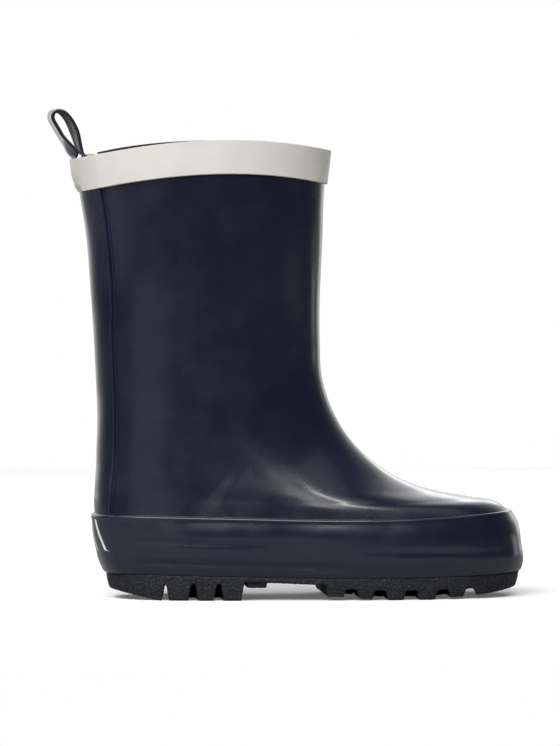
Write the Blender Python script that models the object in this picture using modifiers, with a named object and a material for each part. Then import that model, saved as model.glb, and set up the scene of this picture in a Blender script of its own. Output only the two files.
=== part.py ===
"""Child's rubber deck boot, right foot, built up in layers as a hand-laid boot is.

Run it with: blender --background --python part.py

Sizes are in millimetres, and MM turns them into Blender's metres. x runs from the heel to the
toe, y from the outer side of the foot to the inner side, and z up. Until ORIGIN is taken off,
x is measured from the rearmost point of the heel.

Every layer of the wall is a patch of one skin: the outer face of the rubber upper. u runs once
round the boot, from the back seam (0) along the outer side to the toe (0.5) and back, and t is
the length along the skin from the sole edge up to the rim.
"""

import math

import bmesh
import bpy
import numpy as np

MM = 0.001
ORIGIN = (87.0, 0.0, 0.0)  # the point that becomes the origin, under the middle of the boot

# --- driving sizes ---
GAP = 0.3  # clearance between two layers that are bonded on the real boot
UPPER = 1.6  # rubber sheet of the upper
PLY = 0.9  # stiffening plies between the upper and the lining
LINING = 0.9
STAY = 1.0  # strip down the back seam
FOXING = 2.1  # band round the foot
FOXING_SWELL = 0.6  # where it lies over the back stay
TRIM = 1.0  # pale band round the rim
STRAP = 0.7  # pull loop
BACKING = 0.3  # canvas on the inside of the pull loop
TAPE = 0.6  # binding and patch inside the rim
MARGIN = 9.0  # the upper's edge, turned in under the foot
SOLE_LIP = 2.0  # how far the outsole stands out past the upper
SOLE_DRAFT = 1.6  # how far its side leans in towards the ground
BOARD = 1.5
FOAM = 3.0
COVER = 0.7
INSOLE_PLAY = 1.5  # the loose insole's clearance to the lining
WEDGE = 2.0  # how much the heel is raised under the insole board
WEDGE_END = 78.0  # where the board is level with the foot again
WEDGE_CUT = 48.4  # the wedge ends blunt here
INSOLE_HINGE = (184.0, 0.0, 16.5)  # the insole peels up about its toe end

# --- the skin, from the sole edge to the rim ---
# rear x, rear z, front x, front z, dip (- sags, + arches), how far the dip leans to the toe,
# half width, widest place, squareness of the rear and of the front, how foot-shaped the ring is
STATIONS = (
    ("sole_edge", 8.6, 12.3, 189.4, 11.5, -1.6, 0.5, 33.2, 0.66, 2.9, 2.5, 1.0),
    ("side_low", 5.9, 20.0, 190.0, 20.6, -1.4, 1.1, 35.2, 0.66, 2.9, 2.5, 1.0),
    ("side_high", 3.9, 29.2, 189.0, 30.0, -1.6, 1.1, 35.4, 0.655, 2.9, 2.5, 1.0),
    ("foxing_top", 2.9, 37.8, 186.0, 37.9, -1.75, 1.1, 34.4, 0.65, 2.9, 2.45, 1.0),
    ("toe_crown", 2.7, 42.6, 181.0, 41.7, -1.7, 1.1, 33.8, 0.635, 2.85, 2.4, 0.98),
    ("toe_top", 2.9, 47.0, 170.6, 43.6, -1.5, 1.0, 33.0, 0.61, 2.8, 2.3, 0.95),
    ("vamp", 3.3, 55.5, 150.0, 47.8, -1.0, 0.9, 31.6, 0.56, 2.7, 2.1, 0.8),
    ("instep_low", 3.7, 65.0, 133.2, 54.9, -0.6, 0.7, 30.3, 0.52, 2.6, 2.0, 0.6),
    ("instep_high", 4.0, 76.0, 117.5, 67.5, -0.3, 0.5, 29.4, 0.49, 2.5, 1.95, 0.4),
    ("ankle_low", 4.0, 88.0, 108.2, 82.0, 0.0, 0.3, 28.9, 0.48, 2.4, 1.95, 0.2),
    ("ankle", 3.4, 98.5, 103.5, 96.0, 0.1, 0.2, 28.7, 0.48, 2.3, 2.0, 0.1),
    ("leg_low", 2.5, 113.0, 101.9, 113.0, 0.5, 0.15, 29.0, 0.49, 2.2, 2.05, 0.0),
    ("leg", 1.6, 130.0, 101.9, 132.0, 1.7, 0.1, 30.1, 0.5, 2.1, 2.1, 0.0),
    ("leg_high", -0.4, 157.0, 103.1, 160.0, 4.0, 0.1, 32.6, 0.5, 2.1, 2.1, 0.0),
    ("trim_edge", -4.1, 180.3, 104.0, 183.5, 6.1, 0.1, 34.8, 0.5, 2.1, 2.1, 0.0),
    ("rim", -6.8, 194.4, 105.6, 198.2, 6.5, 0.05, 36.0, 0.5, 2.1, 2.1, 0.0),
)
ROWS_BETWEEN = (1, 1, 1, 1, 1, 2, 2, 2, 2, 2, 1, 2, 2, 2, 3)
WAIST_AT = 0.40
WAIST_SPREAD = 0.17
WAIST_OUTER = 0.06  # share of the half width lost at the waist of the foot
WAIST_INNER = 0.17
TOE_IN = 5.0  # how far the toe leans to the inner side
TOE_IN_FROM = 0.45
SEAM_NARROWING = 0.19  # share by which the lines near the back seam close up at the heel
SEAM_REACH = 0.2

# --- places round the ring ---
U_TAIL = 0.0403  # edge of the pull loop's ends
U_PATCH = 0.0885  # edge of the patch over the inner end
U_STAY = 0.0917  # edge of the back stay
SIDE_LINES = np.linspace(U_STAY, 0.5, 17)
U_COUNTER = SIDE_LINES[2]  # edge of the heel counter
HALF_LINES = [0.0, U_TAIL / 2, U_TAIL, (U_TAIL + U_PATCH) / 2, U_PATCH, *SIDE_LINES]
U_LINES = np.array(HALF_LINES + [1 - u for u in HALF_LINES[-2:0:-1]])
SOLE_LINES = np.arange(150) / 150  # finer ones for the outsole

# --- the vamp's reinforcement ---
VAMP_EDGE = (48.5, 37.0)  # x and z where its rear edge starts to slope
VAMP_SLOPE = math.radians(33.0)  # from upright, towards the toe

# --- the outsole's tread ---
HEEL_GROOVES = (43.6, 54.8)
TOE_GROOVES = (113.4, 126.1, 140.1, 154.2)
FULL_GROOVES = ((33.4, 0.8, 3.3, 7.3), (168.6, 3.4, 6.2, 4.2))
FULL_GROOVE_TURN = math.radians(-4.5)
ARCH_TILT = math.radians(2.5)
HEEL_GROOVE = (1.8, 4.3, 7.5)  # width at the root, width at the ground, height
TOE_GROOVE = (4.7, 7.0, 4.2)
ARCH = (83.9, 36.0, 38.0, 7.6)  # place, width at the root, width at the ground, height
RIB = 6.5  # half width of the rib down the middle of the tread
WAIST_PAD = ((67.4, 76.0), (-30.0, 26.0), (5.6, 9.5))  # low block under the waist
REACH = 60.0  # a cutter that runs off the side of the sole
BLOCK = 150.0  # a cutter that takes a whole end off
HEEL_BEVEL = (9.0, 28.3, 4.3)  # from, to, height at the rear
TOE_SPRING = (146.0, 190.0, 4.2)
TOE_SPRING_POWER = 2.5

# --- the pull loop ---
STRAP_WIDTH = 18.0
BACKING_WIDTH = 17.0
BACKING_START = 0.3  # share of the way up the legs where the canvas starts
LOOP_LENGTH = 21.4
LOOP_LEAN = math.radians(29.5)
LOOP_TOP_R = 4.3
LOOP_BASE_R = 2.2
LOOP_HINGE = (-5.5, 0.0, 197.6)  # the loop swings about a line along y through its base

SHARP = 40.0  # edges over this many degrees are shaded sharp

COLOURS = {  # red, green, blue, roughness
    "navy_rubber": (0.012, 0.016, 0.034, 0.32),
    "pale_rubber": (0.72, 0.69, 0.65, 0.45),
    "sole_rubber": (0.017, 0.018, 0.024, 0.8),
    "lining_cotton": (0.62, 0.5, 0.33, 0.95),
    "strap_backing": (0.09, 0.09, 0.075, 0.95),
    "navy_binding": (0.016, 0.019, 0.034, 0.85),
    "gum_rubber": (0.3, 0.2, 0.12, 0.7),
    "board": (0.4, 0.33, 0.24, 0.9),
    "foam": (0.75, 0.74, 0.7, 0.9),
    "insole_cloth": (0.09, 0.1, 0.14, 0.95),
}


def clear_scene():
    for obj in list(bpy.data.objects):
        bpy.data.objects.remove(obj)


def new_collection(name):
    collection = bpy.data.collections.new(name)
    bpy.context.scene.collection.children.link(collection)
    return collection


# ---------------------------------------------------------------- the skin


def station_lengths():
    """Length along the skin at each station: the mean of the front and the rear path."""
    ends = np.array([row[1:5] for row in STATIONS])
    steps = np.diff(ends, axis=0)
    rear = np.hypot(steps[:, 0], steps[:, 1])
    front = np.hypot(steps[:, 2], steps[:, 3])
    return np.concatenate([[0.0], np.cumsum((rear + front) / 2)])


STATION_T = station_lengths()
AT = {row[0]: t for row, t in zip(STATIONS, STATION_T)}
COLUMNS = np.array([row[1:] for row in STATIONS])
SLOPES = np.gradient(COLUMNS, STATION_T, axis=0)


def columns_at(t):
    """The station values at t, on smooth cubics through the stations."""
    t = np.clip(t, 0.0, STATION_T[-1])
    i = np.clip(np.searchsorted(STATION_T, t, side="right") - 1, 0, len(STATION_T) - 2)
    width = (STATION_T[i + 1] - STATION_T[i])[..., None]
    r = (t - STATION_T[i])[..., None] / width
    values = (
        (2 * r**3 - 3 * r**2 + 1) * COLUMNS[i]
        + (r**3 - 2 * r**2 + r) * width * SLOPES[i]
        + (3 * r**2 - 2 * r**3) * COLUMNS[i + 1]
        + (r**3 - r**2) * width * SLOPES[i + 1]
    )
    return np.moveaxis(values, -1, 0)


def dip_shape(along, skew):
    return 4 * along * (1 - along) * (1 + skew * (2 * along - 1))


def smooth(x):
    x = np.clip(x, 0.0, 1.0)
    return x * x * (3 - 2 * x)


def from_seam(u):
    """How far round the ring u is from the back seam, on either side."""
    return np.abs((u + 0.5) % 1.0 - 0.5)


def seam_line(u, t):
    """u with the lines by the back seam drawn together at the heel, where the ring is long."""
    near = smooth((SEAM_REACH - from_seam(u)) / (SEAM_REACH - U_STAY))
    low = smooth((AT["instep_high"] - t) / (AT["instep_high"] - AT["foxing_top"]))
    return np.round(u) + (u - np.round(u)) * (1 - SEAM_NARROWING * near * low)


def skin_point(u, t):
    columns = columns_at(t)
    rear_x, rear_z, front_x, front_z, dip, skew, half, widest, rear_n, front_n, foot = columns
    angle = 2 * np.pi * seam_line(u, t)
    c, s = np.cos(angle), np.sin(angle)
    n = np.where(c > 0, rear_n, front_n)
    k = (np.abs(c) ** n + np.abs(s) ** n) ** (-1 / n)
    along = widest - np.where(c > 0, widest, 1 - widest) * c * k
    waist = np.exp(-(((along - WAIST_AT) / WAIST_SPREAD) ** 2))
    waist = waist * np.where(s > 0, WAIST_OUTER, WAIST_INNER) * foot
    lean = foot * TOE_IN * smooth((along - TOE_IN_FROM) / (1 - TOE_IN_FROM))
    x = rear_x + (front_x - rear_x) * along
    y = -half * s * k * (1 - waist) + lean
    z = rear_z + (front_z - rear_z) * along + dip * dip_shape(along, skew)
    return np.stack([x, y, z], axis=-1)


def skin(u, t, out=0.0):
    """Points on the skin, moved out by that distance. The move is level at the sole edge and
    at the rim, so that the layers end flush."""
    u, t, out = np.broadcast_arrays(np.asarray(u, float), np.asarray(t, float), out)
    du, dt = 1e-4, 0.05
    low, high = np.maximum(t - dt, 0.0), np.minimum(t + dt, STATION_T[-1])
    across = skin_point(u + du, t) - skin_point(u - du, t)
    up = skin_point(u, high) - skin_point(u, low)
    normal = np.cross(across, up)
    at_end = (t < dt) | (t > STATION_T[-1] - dt)
    normal[..., 2] = np.where(at_end, 0.0, normal[..., 2])
    normal /= np.linalg.norm(normal, axis=-1, keepdims=True)
    return skin_point(u, t) + normal * out[..., None]


def skin_rows():
    rows = [0.0]
    for k, count in enumerate(ROWS_BETWEEN):
        rows += list(np.linspace(STATION_T[k], STATION_T[k + 1], count + 1)[1:])
    return np.array(rows)


T_ROWS = skin_rows()


def rows_from(low, high):
    return T_ROWS[(T_ROWS > low - 1e-6) & (T_ROWS < high + 1e-6)]


def lines_within(limit):
    """The u lines from -limit to limit, through the back seam."""
    half = [u for u in HALF_LINES if u <= limit + 1e-9]
    return np.array([-u for u in half[:0:-1]] + half)


def lines_beyond(limit):
    """The u lines that go round by the toe, from limit to the same place on the other side."""
    return U_LINES[(U_LINES > limit - 1e-9) & (U_LINES < 1 - limit + 1e-9)]


FOOT_LEVEL = AT["side_low"] * 0.6  # where the foot's outline is taken for the pieces inside


def sole_line(x):
    """Height of the sole edge at x."""
    rear_x, rear_z, front_x, front_z, dip, skew = COLUMNS[0][:6]
    along = np.clip((x - rear_x) / (front_x - rear_x), 0.0, 1.0)
    return rear_z + (front_z - rear_z) * along + dip * dip_shape(along, skew)


# ---------------------------------------------------------------- mesh builders


def mesh_object(name, points, faces, material, collection, centre=ORIGIN):
    """A mesh object with its own origin at centre, which is on the joint of a moving piece."""
    mesh = bpy.data.meshes.new(name)
    mesh.from_pydata(((np.asarray(points) - centre) * MM).tolist(), [], faces)
    mesh.shade_smooth()
    mesh.set_sharp_from_angle(angle=math.radians(SHARP))
    mesh.materials.append(bpy.data.materials[material])
    obj = bpy.data.objects.new(name, mesh)
    obj.location = (np.subtract(centre, ORIGIN) * MM).tolist()
    collection.objects.link(obj)
    return obj


def grid_faces(across, up, start, closed, flip=False):
    """Quads on a grid of points stored row after row, from index start on."""
    faces = []
    for j in range(up - 1):
        for i in range(across if closed else across - 1):
            k = (i + 1) % across
            a, b = start + j * across, start + (j + 1) * across
            quad = (a + i, a + k, b + k, b + i)
            faces.append(quad[::-1] if flip else quad)
    return faces


def ladder_faces(count, start, flip):
    """Closes a ring from side to side, so that each face lies level across the foot."""
    half = count // 2
    faces = [(0, 1, count - 1)]
    faces += [(i, i + 1, count - i - 1, count - i) for i in range(1, half - 1)]
    faces.append((half - 1, half, half + 1))
    return [tuple(start + v for v in (f[::-1] if flip else f)) for f in faces]


def layer(name, u, t, inner, outer, material, collection):
    """A closed solid between two distances from the skin, over the u lines and t rows. u has
    one line of places, or one for each row, and inner and outer may be functions of u and t."""
    grid_u = np.broadcast_to(u, (len(t), np.shape(u)[-1]))
    grid_t = np.broadcast_to(np.reshape(t, (-1, 1)), grid_u.shape)
    faces_of = [value(grid_u, grid_t) if callable(value) else value for value in (outer, inner)]
    points = np.concatenate([skin(grid_u, grid_t, d).reshape(-1, 3) for d in faces_of])
    up, across = grid_u.shape
    closed = across == len(U_LINES)
    inside = across * up
    faces = grid_faces(across, up, 0, closed) + grid_faces(across, up, inside, closed, True)
    last = (up - 1) * across
    for i in range(across if closed else across - 1):
        k = (i + 1) % across
        faces.append((i, inside + i, inside + k, k))
        faces.append((last + i, last + k, inside + last + k, inside + last + i))
    if not closed:
        for j in range(up - 1):
            a, b = j * across, (j + 1) * across
            faces.append((a, b, inside + b, inside + a))
            a, b = a + across - 1, b + across - 1
            faces.append((a, inside + a, inside + b, b))
    return mesh_object(name, points, faces, material, collection)


def plate(name, rings, material, collection, centre=ORIGIN):
    """A solid through rings of points, lowest first, closed from side to side at both ends."""
    count = len(rings[0])
    faces = grid_faces(count, len(rings), 0, True)
    faces += ladder_faces(count, 0, True)
    faces += ladder_faces(count, count * (len(rings) - 1), False)
    return mesh_object(name, np.concatenate(rings), faces, material, collection, centre)


def foot_ring(t, out, height, lines=U_LINES):
    """The foot's outline at t, moved out, with its height from a function of x."""
    ring = skin(lines, t, out)
    ring[:, 2] = height(ring[:, 0])
    return ring


def cut(obj, cutter, operation="DIFFERENCE"):
    boolean = obj.modifiers.new(cutter.name, "BOOLEAN")
    boolean.operation = operation
    boolean.object = cutter


def helper_box(name, x, y, z, collection, narrow=1.0):
    """A hidden box between the given limits, its top narrowed along x to that share."""
    bm = bmesh.new()
    bmesh.ops.create_cube(bm, size=1.0)
    for v in bm.verts:
        share = narrow if v.co.z > 0 else 1.0
        v.co.x *= (x[1] - x[0]) * share * MM
        v.co.y *= (y[1] - y[0]) * MM
        v.co.z *= (z[1] - z[0]) * MM
    mesh = bpy.data.meshes.new(name)
    bm.to_mesh(mesh)
    bm.free()
    obj = bpy.data.objects.new(name, mesh)
    centre = (sum(x) / 2, sum(y) / 2, sum(z) / 2)
    obj.location = (np.subtract(centre, ORIGIN) * MM).tolist()
    obj.hide_render = True
    obj.display_type = "WIRE"
    collection.objects.link(obj)
    return obj


# ---------------------------------------------------------------- under the foot


def tread_bottom(x):
    """Height of the tread: bevelled at the heel, flat on the ground, sprung at the toe."""
    start, end, rise = HEEL_BEVEL
    heel = rise * np.clip((end - x) / (end - start), 0.0, 1.0)
    start, end, rise = TOE_SPRING
    toe = rise * np.clip((x - start) / (end - start), 0.0, 1.0) ** TOE_SPRING_POWER
    return heel + toe


def groove(name, place, root, ground, height, y, cutters):
    below = 2.0
    slope = (ground - root) / height
    half = (ground + slope * below) / 2
    x = (place - half, place + half)
    return helper_box(name, x, y, (-below, height), cutters, root / (2 * half))


def make_outsole(parts, cutters):
    profile = (
        (SOLE_LIP - SOLE_DRAFT, tread_bottom),
        (SOLE_LIP - SOLE_DRAFT / 3, lambda x: (tread_bottom(x) + sole_line(x)) / 2),
        (SOLE_LIP, lambda x: sole_line(x) - GAP),
    )
    rings = [foot_ring(0.0, out, height, SOLE_LINES) for out, height in profile]
    sole = plate("outsole", rings, "sole_rubber", parts)
    across = (-REACH, REACH)
    outer, inner = (-REACH, -RIB), (RIB, REACH)
    for place, *shape in FULL_GROOVES:
        channel = groove(f"groove_{place:.0f}", place, *shape, across, cutters)
        channel.rotation_euler.z = FULL_GROOVE_TURN
        cut(sole, channel)
    arch = groove("groove_arch", *ARCH, across, cutters)
    arch.rotation_euler.y = ARCH_TILT
    cut(sole, arch)
    for places, shape in ((HEEL_GROOVES, HEEL_GROOVE), (TOE_GROOVES, TOE_GROOVE)):
        for place in places:
            for side, y in (("outer", outer), ("inner", inner)):
                cut(sole, groove(f"groove_{side}_{place:.0f}", place, *shape, y, cutters))
        for first, second in zip(places, places[1:]):
            middle = (first + second) / 2
            cut(sole, groove(f"groove_rib_{middle:.0f}", middle, *shape, (-RIB - 1, RIB + 1), cutters))
    pad = helper_box("waist_pad", *WAIST_PAD, cutters)
    cut(sole, pad, "UNION")
    return sole


def wedge_height(x):
    return WEDGE * smooth((WEDGE_END - x) / WEDGE_END)


def board_bottom(x):
    return sole_line(x) + UPPER + GAP + wedge_height(x)


def lining_bottom(x):
    return board_bottom(x) + BOARD + GAP


def insole_bottom(x):
    return lining_bottom(x) + LINING + GAP


WALL_IN = UPPER + GAP + PLY + GAP  # from the skin to the lining below the ankle


def make_bottom_pieces(parts):
    """Filler, heel wedge and insole board, between the outsole and the lining."""
    filler = [
        foot_ring(0.0, -MARGIN - GAP, lambda x, lift=lift: sole_line(x) + lift)
        for lift in (0.0, UPPER)
    ]
    plate("bottom_filler", filler, "gum_rubber", parts)
    edge = -WALL_IN - GAP
    board = [
        foot_ring(0.0, edge, lambda x, lift=lift: board_bottom(x) + lift) for lift in (0.0, BOARD)
    ]
    plate("insole_board", board, "board", parts)


def wedge_top(x):
    return np.maximum(board_bottom(x) - GAP, sole_line(x) + UPPER + 2 * GAP)


def make_heel_wedge(parts, cutters):
    """The wedge fills the space that the raised board leaves over the upper's margin."""
    edge = -WALL_IN - GAP
    low = foot_ring(0.0, edge, lambda x: sole_line(x) + UPPER + GAP)
    high = foot_ring(0.0, edge, wedge_top)
    wedge = plate("heel_wedge", [low, high], "gum_rubber", parts)
    ahead = (WEDGE_CUT, WEDGE_CUT + BLOCK)
    cut(wedge, helper_box("wedge_front", ahead, (-REACH, REACH), (0.0, BLOCK / 2), cutters))


def make_insole(parts):
    """The loose insole: a foam bed and the cloth that covers it."""
    edge = -WALL_IN - LINING - INSOLE_PLAY
    foam = [
        foot_ring(FOOT_LEVEL, edge, lambda x, lift=lift: insole_bottom(x) + lift) for lift in (0.0, FOAM)
    ]
    plate("insole_foam", foam, "foam", parts, INSOLE_HINGE)
    base = FOAM + GAP
    cover = [
        foot_ring(FOOT_LEVEL, edge, lambda x, lift=lift: insole_bottom(x) + lift)
        for lift in (base, base + COVER)
    ]
    plate("insole_cover", cover, "insole_cloth", parts, INSOLE_HINGE)


# ---------------------------------------------------------------- the wall


def make_upper(parts):
    """The rubber sheet, from the rim down to the margin that turns in under the foot."""
    t = T_ROWS
    outer = [skin(U_LINES, row) for row in t]
    inner = [skin(U_LINES, row, -UPPER) for row in t[1:]]
    under = foot_ring(0.0, -MARGIN, sole_line)
    over = foot_ring(0.0, -MARGIN, lambda x: sole_line(x) + UPPER)
    corner = foot_ring(0.0, -UPPER, lambda x: sole_line(x) + UPPER)
    # one closed section: up the outside, over the rim, down the inside and along the margin
    rings = [under, *outer, *inner[::-1], corner, over]
    count = len(U_LINES)
    faces = grid_faces(count, len(rings), 0, True)
    last = count * (len(rings) - 1)
    faces += [(last + i, last + (i + 1) % count, (i + 1) % count, i) for i in range(count)]
    mesh_object("upper_shell", np.concatenate(rings), faces, "navy_rubber", parts)


def lining_out(t):
    """The lining lies inside the plies as far as the ankle, and on the upper above it."""
    low, high = AT["ankle"], AT["leg"]
    return -(UPPER + GAP) - (PLY + GAP) * smooth((high - t) / (high - low))


def make_lining(parts):
    """A cotton sock with a closed bottom, open at the rim."""
    rows = rows_from(AT["side_low"], AT["rim"])
    outer = [foot_ring(FOOT_LEVEL, -WALL_IN, lining_bottom)]
    outer += [skin(U_LINES, row, lining_out(row)) for row in rows]
    inner = [foot_ring(FOOT_LEVEL, -WALL_IN - LINING, lambda x: lining_bottom(x) + LINING)]
    inner += [skin(U_LINES, row, lining_out(row) - LINING) for row in rows]
    count, up = len(U_LINES), len(outer)
    inside = count * up
    faces = grid_faces(count, up, 0, True) + grid_faces(count, up, inside, True, True)
    faces += ladder_faces(count, 0, True) + ladder_faces(count, inside, False)
    last = inside - count
    for i in range(count):
        k = (i + 1) % count
        faces.append((last + i, last + k, inside + last + k, inside + last + i))
    mesh_object("lining_sock", np.concatenate(outer + inner), faces, "lining_cotton", parts)


def over_stay(u):
    """1 over the back stay, 0 beyond its edge."""
    return (from_seam(u) < U_STAY + 1e-6).astype(float)


def make_wall_layers(parts):
    sole, foxing, trim, rim = (AT[k] for k in ("sole_edge", "foxing_top", "trim_edge", "rim"))
    stay_top = trim + (rim - trim) / 3
    back = lines_within(U_STAY)
    stay_rows = rows_from(AT["side_low"], stay_top)
    layer("back_stay", back, stay_rows, GAP, GAP + STAY, "navy_rubber", parts)

    def band_in(u, t):
        return GAP + (STAY + GAP) * over_stay(u)

    def foxing_out(u, t):
        return GAP + FOXING + FOXING_SWELL * over_stay(u)

    def trim_out(u, t):
        return band_in(u, t) + TRIM

    foxing_rows = rows_from(sole, foxing)
    trim_rows = rows_from(trim, rim)
    layer("foxing_band", U_LINES, foxing_rows, band_in, foxing_out, "navy_rubber", parts)
    layer("top_trim_band", U_LINES, trim_rows, band_in, trim_out, "pale_rubber", parts)


def make_rim_pieces(parts):
    """The pull loop's two ends, the patch over the inner one, and the binding."""
    trim, rim = AT["trim_edge"], AT["rim"]
    tail = lines_within(U_TAIL)
    outer_rows = np.array([trim + (rim - trim) / 3 + GAP, trim + (rim - trim) * 2 / 3, rim])
    layer("loop_outer_end", tail, outer_rows, GAP, GAP + STRAP, "navy_rubber", parts)
    face = -(UPPER + GAP + LINING + GAP)
    rows = rows_from(trim, rim)
    layer("loop_inner_end", tail, rows, face - STRAP, face, "navy_rubber", parts)
    patch = lines_within(U_PATCH)
    patch_rows = rows_from((AT["leg_high"] + trim) / 2, rim)

    def patch_out(u, t):
        return face - (STRAP + GAP) * (from_seam(u) < U_TAIL + 1e-6)

    def patch_in(u, t):
        return patch_out(u, t) - TAPE

    layer("loop_patch", patch, patch_rows, patch_in, patch_out, "lining_cotton", parts)
    front = lines_beyond(U_STAY)
    layer("rim_binding", front, rows[1:], face - TAPE, face, "navy_binding", parts)


def make_plies(parts, cutters):
    """Stiffening plies between the upper and the lining: one at the heel, one over the toes.
    The rear edges of the second slope forward above the foxing."""
    rows = rows_from(AT["side_low"], AT["instep_low"])
    outer, inner = -(UPPER + GAP), -(UPPER + GAP + PLY)
    heel = lines_within(U_COUNTER)
    layer("heel_counter", heel, rows, inner, outer, "gum_rubber", parts)
    front = lines_beyond(U_COUNTER)
    vamp = layer("vamp_reinforcement", front, rows, inner, outer, "gum_rubber", parts)
    edge_x, edge_z = VAMP_EDGE
    low = helper_box("vamp_edge_low", (0.0, edge_x), (-REACH, REACH), (0.0, edge_z), cutters)
    cut(vamp, low)
    # a box whose front face, once it is turned about its middle, passes through the edge
    centre_x = edge_x - BLOCK / 2 * math.cos(VAMP_SLOPE)
    centre_z = edge_z + BLOCK / 2 * math.sin(VAMP_SLOPE)
    x = (centre_x - BLOCK / 2, centre_x + BLOCK / 2)
    z = (centre_z - BLOCK / 2, centre_z + BLOCK / 2)
    high = helper_box("vamp_edge_high", x, (-REACH, REACH), z, cutters)
    high.rotation_euler.y = VAMP_SLOPE
    cut(vamp, high)


# ---------------------------------------------------------------- the pull loop


def loop_path(inset, leg_start=None):
    """The loop's outline in x and z: a small round base, straight legs and a round top. With
    leg_start the path is open, and its legs start that share of the way up."""
    base_r, top_r = LOOP_BASE_R - inset, LOOP_TOP_R - inset
    span = LOOP_LENGTH - LOOP_TOP_R
    flare = math.asin((top_r - base_r) / span)
    low, high = -flare, math.pi + flare
    arcs = [(angle, span, top_r) for angle in np.linspace(low, high, 15)]
    if leg_start is None:
        arcs += [(angle, 0.0, base_r) for angle in np.linspace(high, low + 2 * math.pi, 7)]
    else:
        r = base_r + (top_r - base_r) * leg_start
        arcs = [(low, span * leg_start, r), *arcs, (high, span * leg_start, r)]
    points = []
    for angle, along, r in arcs:
        q, p = r * math.cos(angle), along + r * math.sin(angle)
        x = LOOP_HINGE[0] - p * math.sin(LOOP_LEAN) + q * math.cos(LOOP_LEAN)
        z = LOOP_HINGE[2] + p * math.cos(LOOP_LEAN) + q * math.sin(LOOP_LEAN)
        points.append((x, z))
    return points


def ribbon(name, path, closed, width, thickness, material, collection):
    """A strap of that width along y that follows the path, thickened towards its inside."""
    half = width / 2
    points = [(x, y, z) for y in (-half, half) for x, z in path]
    faces = grid_faces(len(path), 2, 0, closed, flip=True)
    obj = mesh_object(name, points, faces, material, collection, LOOP_HINGE)
    solidify = obj.modifiers.new("thickness", "SOLIDIFY")
    solidify.thickness = thickness * MM
    solidify.offset = -1.0
    solidify.use_even_offset = True
    return obj


def make_pull_loop(parts):
    ribbon("pull_loop_strap", loop_path(0.0), True, STRAP_WIDTH, STRAP, "navy_rubber", parts)
    path = loop_path(STRAP + GAP, leg_start=BACKING_START)
    ribbon("pull_loop_backing", path, False, BACKING_WIDTH, BACKING, "strap_backing", parts)


def make_materials():
    for name, (red, green, blue, roughness) in COLOURS.items():
        material = bpy.data.materials.new(name)
        material.use_nodes = True
        shader = material.node_tree.nodes["Principled BSDF"]
        shader.inputs["Base Color"].default_value = (red, green, blue, 1.0)
        shader.inputs["Roughness"].default_value = roughness
        shader.inputs["Metallic"].default_value = 0.0


def main():
    clear_scene()
    make_materials()
    parts = new_collection("deck_boot")
    cutters = new_collection("cutters")
    make_outsole(parts, cutters)
    make_bottom_pieces(parts)
    make_heel_wedge(parts, cutters)
    make_upper(parts)
    make_plies(parts, cutters)
    make_lining(parts)
    make_wall_layers(parts)
    make_rim_pieces(parts)
    make_insole(parts)
    make_pull_loop(parts)


main()
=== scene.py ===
"""Looks of the child's rubber deck boot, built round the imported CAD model.

Sizes are in millimetres until MM turns them into Blender's metres. x runs from the rearmost point
of the heel to the toe until ORIGIN is taken off, y from the outer side of the foot to the inner
side, and z up. The wall's pieces all follow one skin, the outer face of the rubber upper: u runs
once round the boot, from the back seam (0) along the outer side to the toe (0.5) and back, and t
is the length along the skin from the sole edge up to the rim.
"""

import math

import bpy
import numpy as np
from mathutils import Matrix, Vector, noise


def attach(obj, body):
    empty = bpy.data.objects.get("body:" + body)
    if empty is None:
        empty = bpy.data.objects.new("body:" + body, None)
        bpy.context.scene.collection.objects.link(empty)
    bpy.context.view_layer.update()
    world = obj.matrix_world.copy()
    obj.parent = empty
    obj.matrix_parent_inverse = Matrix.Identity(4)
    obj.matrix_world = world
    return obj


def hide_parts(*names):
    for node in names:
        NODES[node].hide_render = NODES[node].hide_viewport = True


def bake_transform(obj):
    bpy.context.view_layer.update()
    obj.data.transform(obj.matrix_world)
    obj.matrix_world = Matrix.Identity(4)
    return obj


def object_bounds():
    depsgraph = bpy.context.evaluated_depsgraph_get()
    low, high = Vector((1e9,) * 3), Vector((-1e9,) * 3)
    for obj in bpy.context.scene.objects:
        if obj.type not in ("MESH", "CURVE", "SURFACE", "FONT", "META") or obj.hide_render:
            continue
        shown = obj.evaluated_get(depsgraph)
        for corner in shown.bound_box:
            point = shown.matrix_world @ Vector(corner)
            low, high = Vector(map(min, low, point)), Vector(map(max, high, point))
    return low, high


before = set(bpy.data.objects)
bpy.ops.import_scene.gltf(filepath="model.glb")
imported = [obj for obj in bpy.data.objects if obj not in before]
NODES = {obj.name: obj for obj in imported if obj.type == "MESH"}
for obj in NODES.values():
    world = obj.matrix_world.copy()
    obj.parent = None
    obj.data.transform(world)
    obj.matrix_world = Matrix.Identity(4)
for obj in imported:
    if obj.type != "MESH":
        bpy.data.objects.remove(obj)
CAD_BOX = [list(corner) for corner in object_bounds()]

MM = 0.001
ORIGIN = (87.0, 0.0, 0.0)

# --- the camera ---
CAMERA_AZIMUTH = math.radians(4.5)
CAMERA_DOWN = math.radians(1.9)
CAMERA_DISTANCE = 3000.0
CAMERA_AIM = (-2.8, 0.0, -8.9)  # from the middle of the CAD box
LENS = 325.0

# --- the CAD model's own sizes ---
GAP = 0.3
UPPER = 1.6
PLY = 0.9
LINING = 0.9
STAY = 1.0
FOXING = 2.1
FOXING_SWELL = 0.6
TRIM = 1.0
STRAP = 0.7
TAPE = 0.6
MARGIN = 9.0
INSOLE_PLAY = 1.5
BOARD = 1.5
FOAM = 3.0
COVER = 0.7
WEDGE = 2.0
WEDGE_END = 78.0
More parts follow.
